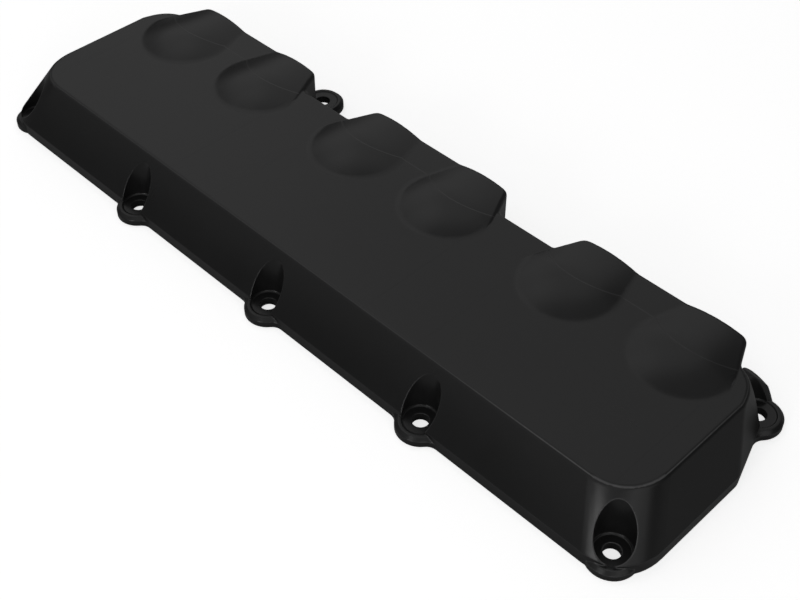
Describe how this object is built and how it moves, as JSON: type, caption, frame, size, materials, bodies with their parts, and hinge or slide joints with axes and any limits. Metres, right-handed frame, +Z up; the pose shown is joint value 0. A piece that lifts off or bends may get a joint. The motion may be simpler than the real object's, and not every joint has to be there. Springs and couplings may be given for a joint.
{
  "type": "engine valve cover",
  "caption": "Long low cast engine valve cover with leaning walls, stepped blocks with paired domes along one side and bolt ears with sunken wells.",
  "frame": {"origin": "centre of the rectangle of the four corner bolts, on the flat underside", "axes": "+X along the length, +Y towards the stepped blocks, +Z up and out of the engine"},
  "size_m": [0.3564, 0.1234, 0.0291],
  "materials": {
    "cover": "satin black coating on cast aluminium"
  },
  "bodies": {
    "root": {"valve_cover": "cover"}
  },
  "joints": []
}
